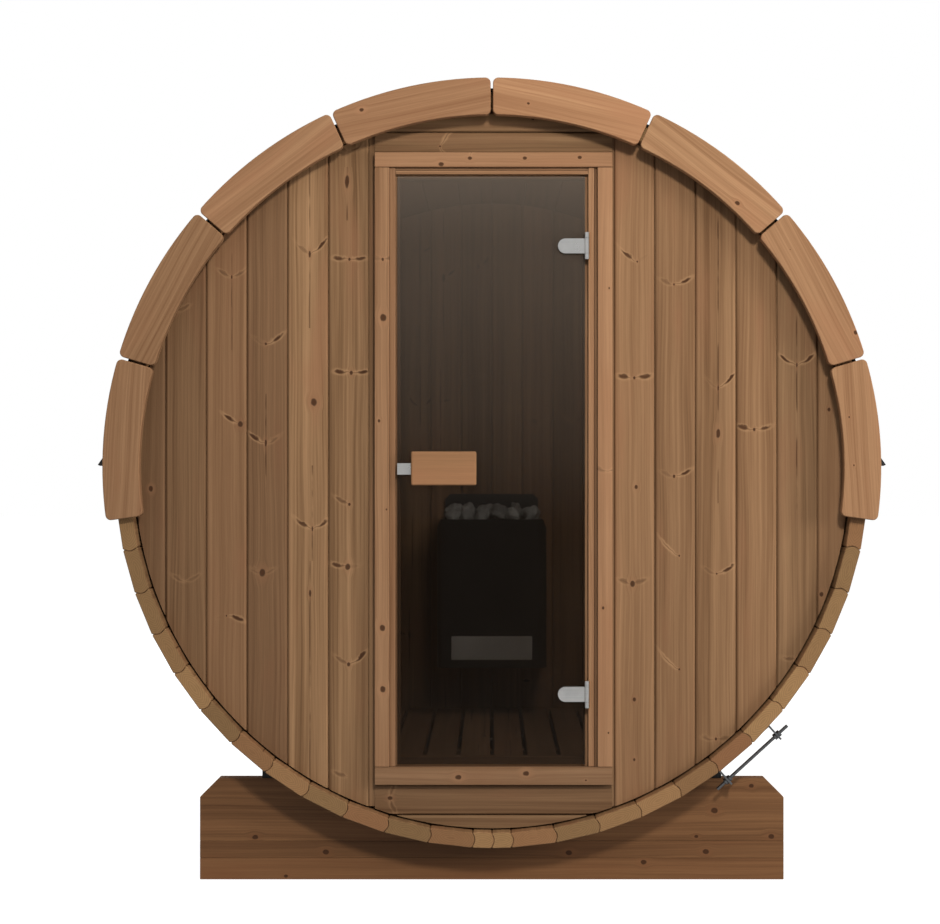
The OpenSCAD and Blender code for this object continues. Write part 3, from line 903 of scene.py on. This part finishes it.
def strip(timber, x0, x1, y0, y1, reach):
    """A plain upright strip that closes a joint; its tone of 0.8 is painted shade, as it sits deep
    in a joint or beside the frame.
    """
    timber.board(block((x0, y0, AXIS.z - reach), (x1, y1, AXIS.z + reach), 0),
                 ((x0 + x1) / 2, y0, AXIS.z), *UPRIGHT, tone=0.8)


def tongues(timber, xs, y0, y1):
    """Strips behind the grooves between upright boards."""
    for x in xs:
        strip(timber, x - JOINT / 2, x + JOINT / 2, y0 + GROOVE, y1 - GROOVE, wall_edge(x) - 0.002)


def build_front_walls():
    y0, y1 = WALL_Y, WALL_Y + WALL_T
    middle = (y0 + y1) / 2
    for side, first, marks, tones, node in (
            (-1, -0.3277, LEFT_MARKS, LEFT_TONES_AND_SHADE, "front_wall_left"),
            (1, 0.3261, RIGHT_MARKS, RIGHT_TONES_AND_SHADE, "front_wall_right")):
        timber = Timber(20 + side)
        xs = [first + side * BOARD * k for k in range(6)] + [side * WALL_R]
        for k, (a, b) in enumerate(zip(xs, xs[1:])):
            x = (min(a, b) + max(a, b)) / 2
            timber.board(round_board(min(a, b), max(a, b), y0, y1), (x, middle, AXIS.z),
                         *UPRIGHT, from_middle(marks[k], AXIS.z * 1000, x * 1000), tones[k])
        tongues(timber, xs[1:-1], y0, y1)
        inner = FRAME_LOW.x if side < 0 else FRAME_HIGH.x
        strip(timber, min(inner, first) + SAW, max(inner, first), y0 + 0.003, y1,
              wall_edge(first) - 0.001)
        declare(timber.build(node.replace("wall", "boards")), "wall", CABIN, node)

    for node, seed, tones, cuts, marks in (
            ("front_wall_over_door", 31, (0.80, 0.90), (FRAME_HIGH.z, 2.011, 2.08),
             ([(-138, -10, 2, 0.8, -1, -1)], [(110, 0, 3)])),
            # the boards under the door get low tones: painted shade, darker towards the bottom
            ("front_wall_under_door", 32, (0.66, 0.74), (0.13, 0.188, FRAME_LOW.z),
             ([(180, 0, 3)], [(-272, 4, 5, 0.4, 0.6, 0.5)]))):
        timber = Timber(seed, tones)
        for low, high, own in zip(cuts, cuts[1:], marks):
            timber.board(flat_board(FRAME_LOW.x, FRAME_HIGH.x, y0, y1, low + JOINT / 2,
                                    high - JOINT / 2),
                         (0, middle, (low + high) / 2), *LEVEL, from_middle(own))
        declare(timber.build(node.replace("wall", "boards")), "wall", CABIN, node)


def build_back_wall():
    y1, y0 = -WALL_Y, -WALL_Y - WALL_T
    timber = Timber(40, (0.9, 1.08))
    xs = [-WALL_R] + [BOARD * k for k in range(-8, 9)] + [WALL_R]
    for left, right in zip(xs, xs[1:]):
        timber.board(round_board(left, right, y0, y1),
                     ((left + right) / 2, (y0 + y1) / 2, AXIS.z), *UPRIGHT)
    tongues(timber, xs[1:-1], y0, y1)
    declare(timber.build("back_boards"), "back", CABIN, "back_wall")


build_front_walls()
build_back_wall()


# ---- door frame
FRAME_MARKS = {
    "door_jamb_left": [(1669, -290, 3, 0.2, 0.3, 0.6), (1515, -289, 7), (1240, -300, 3),
                       (1004, -280, 2), (690, -291, 6), (527, -290, 6)],
    "door_jamb_right": [(1592, 312, 2), (1105, 306, 0, 0.4, 0.4, 0.7), (742, 296, 3),
                        (410, 310, 2)],
    "door_head": [(-134, 1922, 5), (-58, 1938, 4, 0.5, 0, 0.7), (88, 1938, 4), (234, 1940, 4)],
    "door_sill": [(-88, 292, 6), (92, 302, 6), (250, 284, 2)],
}


def build_frame():
    # the sill's low tone of 0.66 is painted shade: darker towards the bottom
    for node, tone in (("door_jamb_left", 0.94), ("door_jamb_right", 0.94), ("door_head", 0.92),
                       ("door_sill", 0.66)):
        timber = Timber(sum(map(ord, node)))
        low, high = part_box(node)
        middle = (low + high) * 500
        upright = high.z - low.z > high.x - low.x
        place = (middle.z, middle.x) if upright else (middle.x, middle.z)
        timber.beam(low, high, 0.003, tone, from_middle(FRAME_MARKS[node], *place), facing=1)
        declare(timber.build(node.replace("door", "frame")), "frame", CABIN, node)

    low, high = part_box("door_lining")
    clear, above = 0.257, 1.896            # half the clear width, and its top
    right, strip_y = 0.273, low.y + 0.003
    timber = Timber(51, (0.86, 0.96))
    timber.beam(low, (-clear, high.y, high.z), 0.001, 0.85)
    timber.beam((clear, low.y, low.z), (right, high.y, high.z), 0.0015, 1.08)
    timber.beam((-clear + SAW, low.y, above), (clear - SAW, high.y, 1.906), 0.0015)
    # the two strips at the bottom of the groove round the lining get tone 0.7: painted shade in the
    # groove
    timber.beam((0.2737, strip_y, low.z), (0.2803, high.y, high.z), 0.001, 0.7)
    timber.beam((low.x, strip_y, 1.9067), (right, high.y, 1.9133), 0.001, 0.7)
    declare(timber.build("lining"), "frame", CABIN, "door_lining")

    low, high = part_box("door_stops")
    lap = 0.012
    inside = clear - lap
    timber = Timber(52, (0.86, 0.96))
    timber.beam(low, (-inside, high.y, high.z), 0.0015)
    timber.beam((inside, low.y, low.z), high, 0.0015)
    timber.beam((-inside + SAW, low.y, above - lap), (inside - SAW, high.y, high.z), 0.0015)
    timber.beam((-inside + SAW, low.y, low.z), (inside - SAW, high.y, low.z + 2 * lap), 0.0015)
    declare(timber.build("stops"), "frame", CABIN, "door_stops")


build_frame()


# ---- door
def build_door():
    declare(metal("glass_pane", [block(GLASS_LOW, GLASS_HIGH, 0.0012)]), "glass", DOOR,
            "door_glass")
    for word in ("outer", "inner"):
        timber = Timber(60)
        low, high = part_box(f"door_handle_{word}")
        timber.board(block(low, high, 0.005, 4), (low + high) / 2, *LEVEL, tone=0.92)
        declare(timber.build(f"handle_{word}"), "handle", DOOR, f"door_handle_{word}")
    declare(metal("latch", [block(*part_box("door_latch"), 0.0015, 3)]), "steel", DOOR, "door_latch")
    declare(eased_copy("hinge_tongues", "hinge_clamps", 0.0012), "steel", DOOR, "hinge_clamps")
    declare(eased_copy("hinge_bars", "hinge_plates", 0.0008), "steel", CABIN, "hinge_plates")


build_door()


# ---- arched trims
TRIM_OUT, TRIM_IN, TRIM_T, TRIM_RISE = 1.027, 0.929, 0.028, 0.011
TRIM_FIRST = math.radians(-8.15)
TRIM_STEP = (math.pi - 2 * TRIM_FIRST) / 8


def rounded(points, radius, corners, steps=5):
    """An outline with the given corners rounded."""
    made = []
    for k, point in enumerate(points):
        if k not in corners:
            made.append(point)
            continue
        here = Vector(point)
        before = (Vector(points[k - 1]) - here).normalized()
        after = (Vector(points[(k + 1) % len(points)]) - here).normalized()
        half = before.angle(after) / 2
        centre = here + (before + after).normalized() * radius / math.sin(half)
        start, stop = (here + way * radius / math.tan(half) for way in (before, after))
        for n in range(steps + 1):
            way = (start - centre).lerp(stop - centre, n / steps).normalized()
            made.append(tuple(centre + way * radius))
    return made


def trim_piece(y0):
    """One arched trim about the arch's centre at angle 0."""
    half, side = TRIM_STEP / 2, 0.003
    out, into = half - side / TRIM_OUT, half - side / TRIM_IN
    outline = arc(TRIM_OUT, -out, out, 14) + arc(TRIM_IN, into, -into, 14)
    outline = rounded(outline, 0.014, (0, 14, 15, 29))
    timber = Timber(70)
    timber.board(prism(outline, y0, y0 + TRIM_T, 0.003, 3),
                 ((TRIM_OUT + TRIM_IN) / 2, y0 + TRIM_T / 2, 0), *UPRIGHT)
    return timber.master("trim")


def build_trims():
    centre = AXIS + Vector((0, 0, TRIM_RISE))
    front_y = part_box("front_trims_left")[0].y
    back_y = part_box("back_trims")[0].y
    first = TRIM_FIRST + TRIM_STEP / 2
    # the front trims' drift is painted light: the right ones grow lighter towards the top, the left
    # ones darker towards the bottom
    for name, node, y0, start, count, tone, drift, seed in (
            ("front_trim_boards_right", "front_trims_right", front_y, 0, 4, 0.85, 0.045, 5),
            ("front_trim_boards_left", "front_trims_left", front_y, 4, 4, 0.85, -0.04, 9),
            ("back_trim_boards", "back_trims", back_y, 0, 8, 0.97, 0.0, 14)):
        shape = trim_piece(y0)
        made = grow(name, RING, "trim", piece=shape, first=first + start * TRIM_STEP,
            step=TRIM_STEP, count=count, centre=centre, low=tone - 0.04, high=tone + 0.04,
            drift=drift, seed=seed)
        bpy.data.objects.remove(shape)
        declare(made, "trim", CABIN, node)


build_trims()


# ---- shingled roof
COVER_R = 1.0024
COVER_LOW = 0.040
TAB_WIDE, EXPOSED, TAB_LONG, TAB_T = 0.333, 0.1395, 0.162, 0.0034
COURSES = 11


def shingle_pattern():
    """Courses of shingle tabs laid flat, then wrapped on the barrel: x is the way down from
    the ridge, y runs along the barrel and z is height off the boards."""
    t = Pattern("shingles", side="size", columns="count", courses="count", wide="size",
        exposed="size", long="size", thick="size", radius="size", reach="size", rise="size",
        end="size", seed="count")
    i = t.inputs
    count = i["columns"] * i["courses"]
    course = t.math("FLOOR", (t.index() + 0.5) / i["columns"])
    column = t.index() - course * i["columns"]
    stagger = course % 2.0 * 0.5
    y = (column - stagger) * i["wide"] - (i["end"] - i["wide"] * 0.25)
    x = i["reach"] - course * i["exposed"]
    lift = t.chance(0.0, 0.0006, i["seed"], 7)
    points = t.spread(t.points(count), t.join(x, y, lift))
    tab = t.out("GeometryNodeMeshCube", named={
        "Size": t.join(i["long"], i["wide"] - 0.005, i["thick"]), "Vertices X": 6,
        "Vertices Y": 2, "Vertices Z": 2})
    tab = t.out("GeometryNodeTransform", named={"Geometry": tab,
        "Translation": t.join(i["long"] * -0.5, 0.0, i["thick"] * -0.5)})
    courses = t.copies(points, tab, (0.0, math.atan2(-0.0042, 0.162), 0.0))
    courses = t.store(courses, "tone", t.chance(0.72, 1.25, i["seed"]))

    return t.close(courses, lambda real: t.bent(real, i["side"], i["end"] * -1.0))


def ridge_pattern():
    """Ridge caps that lap along the top."""
    t = Pattern("ridge", count="count", pitch="size", wide="size", thick="size", radius="size",
        rise="size", end="size", seed="count")
    i = t.inputs
    y = t.index() * i["pitch"] - i["end"]
    points = t.spread(t.points(i["count"]), t.join(0.0, y, 0.0))
    cap = t.out("GeometryNodeMeshCube", named={
        "Size": t.join(i["wide"], i["pitch"] + 0.02, i["thick"]), "Vertices X": 12,
        "Vertices Y": 2, "Vertices Z": 2})
    cap = t.out("GeometryNodeTransform", named={"Geometry": cap,
        "Translation": t.join(0.0, (i["pitch"] + 0.02) * 0.5, 0.0)})
    caps = t.copies(points, cap, (0.022, 0.0, 0.0))
    caps = t.store(caps, "tone", t.chance(0.8, 1.2, i["seed"]))

    return t.close(caps, t.bent)


def build_roof():
    reach = (math.pi / 2 - math.asin(COVER_LOW / COVER_R)) * COVER_R   # from the top to an edge
    tree = shingle_pattern()
    end = HALF_LEN - 0.0005
    parts = [grow(f"shingles_{word}", tree, "shingle", side=side, columns=7, courses=COURSES,
                  wide=TAB_WIDE, exposed=EXPOSED, long=TAB_LONG, thick=TAB_T, radius=COVER_R,
                  reach=reach, rise=0.0084, end=end, seed=seed)
             for word, side, seed in (("left", -1.0, 4), ("right", 1.0, 8))]
    for part in parts:
        shape = bmesh.new()
        shape.from_mesh(part.data)
        bmesh.ops.dissolve_degenerate(shape, dist=1e-5, edges=shape.edges)
        bmesh.ops.recalc_face_normals(shape, faces=shape.faces)
        shape.to_mesh(part.data)
    parts.append(grow("ridge", ridge_pattern(), "shingle", count=13, pitch=0.1385, wide=0.30,
                      thick=0.0032, radius=COVER_R, rise=0.0105, end=end, seed=6))
    low = math.asin(COVER_LOW / COVER_R)
    top = math.pi - low
    felt = arc(COVER_R + 0.0022, low, top, 90) + arc(COVER_R + 0.0002, top, low, 90)
    felt = [(x, z + AXIS.z) for x, z in felt]
    parts.append(metal("felt", [prism(felt, -HALF_LEN, HALF_LEN, 0)]))
    write(parts[-1].data, "tone", "POINT", [0.6] * len(parts[-1].data.vertices))
    declare(joined("shingle_roof", parts), "shingle", CABIN, "roof_cover")


build_roof()


# ---- bands and tensioners
def thread_pattern():
    """A threaded rod along X: a tube whose radius follows one turning groove."""
    t = Pattern("thread", long="size", radius="size", pitch="size", rings="count", sides="count")
    i = t.inputs
    tube = t.add("GeometryNodeMeshCylinder", fill_type="NGON",
        named={"Vertices": i["sides"], "Side Segments": i["rings"], "Radius": i["radius"],
        "Depth": i["long"]}).outputs["Mesh"]
    x, y, z = t.split(t.out("GeometryNodeInputPosition"))
    turn = t.math("ARCTAN2", y, x) / (2 * math.pi)
    phase = t.math("FRACT", z / i["pitch"] + turn + 1000.0)
    groove = abs(phase * 2.0 - 1.0)
    thin = groove * -0.16 + 1.0
    tube = t.spread(tube, t.join(z, x * thin, y * thin))
    return t.close(tube)


def nut(x0, x1, radius):
    """A hex nut along X with its corners turned down."""
    mesh = bmesh.new()
    rows = []
    for x, r in ((x0, radius * 0.88), (x0 + 0.0012, radius), (x1 - 0.0012, radius),
            (x1, radius * 0.88)):
        corners = arc(r, 0, math.pi * 5 / 3, 5)
        rows.append([mesh.verts.new((x, y, z)) for y, z in corners])
    for a, b in zip(rows, rows[1:]):
        for k in range(6):
            mesh.faces.new((a[k], a[(k + 1) % 6], b[(k + 1) % 6], b[k]))
    mesh.faces.new(rows[0])
    mesh.faces.new(rows[-1])
    bmesh.ops.recalc_face_normals(mesh, faces=mesh.faces)
    return mesh


def build_tensioners():
    """Each is made with its rod along X and outwards as Z, then set on its band."""
    rod_off, lug_x = 0.038, 0.985 * math.sin(math.radians(5.2))
    tree = thread_pattern()
    parts = []
    for y in (-HALF_LEN + 0.06, HALF_LEN - 0.06):
        rod = grow("rod", tree, "rod", long=0.254, radius=0.005, pitch=0.0015, rings=508, sides=12)
        solids = []
        for side in (-1, 1):
            x = side * lug_x
            solids.append(block((x - 0.0025, -0.015, -rod_off + 0.004),
                (x + 0.0025, 0.015, 0.014), 0.0008))
            foot = sorted((x, x - side * 0.028))
            solids.append(block((foot[0], -0.015, -rod_off + 0.0025),
                (foot[1], 0.015, -rod_off + 0.0050), 0.0008))
            for s in (-1, 1):
                solids.append(nut(x + s * 0.0065 - 0.004, x + s * 0.0065 + 0.004, 0.0095))
        whole = joined("tensioner", [rod, metal("lugs", solids)])
        turn = Matrix.Rotation(math.radians(47.7), 4, "Y")
        out = Matrix.Translation((STAVE_R + rod_off, 0, 0)) @ Matrix.Rotation(math.pi / 2, 4, "Y")
        whole.data.transform(Matrix.Translation((0, y, AXIS.z)) @ turn @ out)
        parts.append(whole)
    declare(smoothed(joined("tensioner_rods", parts), 50), "rod", CABIN, "band_tensioners")


build_tensioners()


# ---- cradles and floor
# (place along the board and across it, dot) from its middle, in mm: the two lower boards, then
# the left and the right wing
CRADLE_KNOTS = {
    "front": ([(-557, -20, 4), (412, 18, 6)], [(-449, -7, 6), (209, -9, 6), (580, -6, 6)],
              [(-191, -75, 6), (120, -40, 3)], [(103, -74, 4), (152, -4, 7), (252, 63, 5),
                                               (306, -74, 6)]),
    "back": ([(-310, 8, 6), (190, -12, 5), (640, 5, 4)], [(-120, 6, 5), (480, -8, 6)],
             [(-60, -30, 6), (210, 20, 4)], [(-170, -60, 5), (90, 10, 6)]),
}


def build_cradles():
    w, top, corner, wing_x = 0.7905, 0.274, 0.051, 0.110
    hollow = STAVE_R + 0.0005
    across_top = math.sqrt(hollow ** 2 - (AXIS.z - top) ** 2)
    angles = [math.atan2(top - AXIS.z, across_top), -math.acos(wing_x / hollow)]
    for word, tones in (("front", (1.0, 0.86, 0.96, 1.0)), ("back", (0.95, 1.0, 0.9, 0.97))):
        low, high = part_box(f"cradle_{word}")
        timber = Timber(80 + len(word))
        marks = [from_middle(knots) for knots in CRADLE_KNOTS[word]]
        for k, (z0, z1) in enumerate(((0.0, 0.058), (0.0583, 0.104))):
            timber.beam((-w, low.y, z0), (w, high.y, z1), 0.0012, tones[k], marks[k])
        for k, side in ((2, -1), (3, 1)):
            hollow_edge = arc(hollow, angles[0], angles[1], 16, (0, AXIS.z))
            outline = [(wing_x, 0.1043), (w, 0.1043), (w, top - corner), (w - corner, top)]
            outline = [(side * x, z) for x, z in outline + hollow_edge]
            timber.board(prism(outline, low.y, high.y, 0.0015),
                         (side * 0.45, (low.y + high.y) / 2, 0.19), *LEVEL, marks[k], tones[k])
        declare(timber.build(f"cradle_boards_{word}"), "cradle", CABIN, f"cradle_{word}")


def build_floor():
    low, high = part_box("floor_slats")
    slat = Timber(90)
    slat.beam((-0.044, low.y, low.z), (0.044, high.y, high.z), 0.003)
    shape = slat.master("slat")
    made = grow("slats", ROW, "floor", piece=shape, pitch=0.1, count=8, low=0.9, high=1.1, seed=2)
    bpy.data.objects.remove(shape)
    declare(made, "floor", CABIN, "floor_slats")
    low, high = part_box("floor_bearers")
    timber = Timber(91)
    for y in (low.y, -0.022, high.y - 0.044):
        reach = math.sqrt(0.957 ** 2 - (AXIS.z - low.z) ** 2)
        outline = [(-reach, low.z), (reach, low.z), (high.x, high.z), (low.x, high.z)]
        timber.board(prism(outline, y, y + 0.044), (0, y + 0.022, (low.z + high.z) / 2), *LEVEL)
    declare(timber.build("bearers"), "floor", CABIN, "floor_bearers")


build_cradles()
build_floor()


# ---- heater
def stone_pattern():
    """Stones heaped in layers over a tray: each is a ball squashed and broken by noise."""
    t = Pattern("stones", wide="size", deep="size", layers="count", step="size", size="size",
        place="place", seed="count")
    i = t.inputs
    tray = t.out("GeometryNodeMeshGrid", named={"Size X": i["wide"], "Size Y": i["deep"],
        "Vertices X": 6, "Vertices Y": 5})
    stack = t.out("GeometryNodeMeshLine", mode="OFFSET",
        named={"Count": i["layers"], "Offset": t.join(0.0, 0.0, i["step"])})
    levels = t.out("GeometryNodeRealizeInstances", t.copies(stack, tray))
    jitter = t.join(t.chance(-0.013, 0.013, i["seed"], 1), t.chance(-0.013, 0.013, i["seed"], 2),
        t.chance(-0.010, 0.010, i["seed"], 3))
    offset = t.out("ShaderNodeVectorMath", jitter, i["place"], operation="ADD")
    levels = t.out("GeometryNodeSetPosition", named={"Geometry": levels, "Offset": offset})
    ball = t.out("GeometryNodeMeshIcoSphere", named={"Radius": i["size"], "Subdivisions": 3})
    turn = t.join(*(t.chance(0.0, 6.28, i["seed"], k) for k in (4, 5, 6)))
    scale = t.join(*(t.chance(low, high, i["seed"], k) for low, high, k in
                     ((0.8, 1.2, 7), (0.7, 1.0, 8), (0.6, 0.85, 9))))
    heap = t.copies(levels, ball, turn, scale)
    heap = t.store(heap, "tone", t.chance(0.7, 1.25, i["seed"], 10))

    def chip(real):
        place = t.out("GeometryNodeInputPosition")
        noise = t.add("ShaderNodeTexVoronoi", feature="F1", named={"Vector": place, "Scale": 34.0})
        push = t.math("MULTIPLY_ADD", noise.outputs["Distance"], -0.022, 0.008)
        normal = t.out("GeometryNodeInputNormal")
        move = t.scaled(normal, t.join(push, push, push))
        return t.out("GeometryNodeSetPosition", named={"Geometry": real, "Offset": move})

    return t.close(heap, chip)


def build_heater():
    declare(eased_copy("heater_case", "heater_body", 0.0018), "black", CABIN, "heater_body")
    declare(eased_copy("heat_shield", "heater_guard", 0.0006), "black", CABIN, "heater_guard")
    declare(eased_copy("wall_brackets", "heater_brackets", 0.001), "black", CABIN,
        "heater_brackets")
    declare(metal("control_panel", [block(*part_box("heater_panel"), 0.001)]), "panel", CABIN,
        "heater_panel")
    low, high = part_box("heater_stones")
    middle = (low + high) / 2
    made = grow("stone_heap", stone_pattern(), "stones", wide=0.262, deep=0.196, layers=3,
        step=0.038, size=0.032, place=(middle.x, middle.y, low.z + 0.030), seed=12)
    declare(made, "stones", CABIN, "heater_stones")


build_heater()


# ---- nodes that stay
for node, finish in (("steel_bands", "band"), ("drip_edges", "black"),
        ("cradle_chocks", "rubber")):
    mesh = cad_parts[node].data
    mesh.materials.clear()
    mesh.materials.append(MATERIALS[finish])


# ---- floor and light
def add_studio():
    ground = bmesh.new()
    bmesh.ops.create_grid(ground, x_segments=1, y_segments=1, size=40)
    mesh = bpy.data.meshes.new("studio_floor")
    ground.to_mesh(mesh)
    floor = piece("studio_floor", mesh)
    floor.location.z = -0.0006
    s = Shader("studio_floor", 0.9)
    s.surface.inputs["Emission Color"].default_value = (1, 1, 1, 1)
    seen = s.add("ShaderNodeLightPath").outputs["Is Camera Ray"]
    s.feed(s.surface.inputs["Emission Strength"], s.remap(seen, 0.0, 1.0, 0.06, 0.88))
    mesh.materials.append(s.finish((0.3, 0.3, 0.3, 1.0)))

    world = bpy.data.worlds.new("studio")
    scene.world = world
    world.use_nodes = True
    sky = Tree(world.node_tree)
    back = world.node_tree.nodes["Background"]
    seen = sky.add("ShaderNodeLightPath").outputs["Is Camera Ray"]
    mirrored = sky.add("ShaderNodeLightPath").outputs["Is Glossy Ray"]
    lit = sky.math("MULTIPLY_ADD", mirrored, 0.32, 0.30)
    sky.feed(back.inputs["Strength"], sky.math("MAXIMUM", lit, seen))
    back.inputs["Color"].default_value = (1, 1, 1, 1)

    for name, place, aim, watts, size in (
            ("key", (0.9, -4.9, 3.3), (0.0, -0.9, 1.3), 158, 0.5),
            ("side", (4.6, -3.0, 1.8), (0.0, -0.9, 1.1), 135, 1.5),
            ("top", (0.0, -3.6, 5.6), (0.0, -0.9, 1.3), 75, 5.0),
            ("left", (-5.2, 0.6, 3.4), (0.0, 0.2, 1.1), 130, 2.4),
            ("right", (5.2, 0.6, 3.4), (0.0, 0.2, 1.1), 130, 2.4),
            ("back", (-1.4, 6.0, 3.2), (0.0, 0.9, 1.1), 190, 2.4),
            ("inside", (0.42, -0.62, 1.62), (0.05, 0.6, 0.9), 7.0, 0.3)):
        data = bpy.data.lights.new(name, "AREA")
        data.energy, data.size = watts, size
        lamp = bpy.data.objects.new(name, data)
        lamp.location = place
        lamp.visible_camera = lamp.visible_glossy = False
        lamp.rotation_euler = (Vector(aim) - Vector(place)).to_track_quat("-Z", "Y").to_euler()
        scene.collection.objects.link(lamp)
    scene.view_settings.view_transform = "Standard"


add_studio()
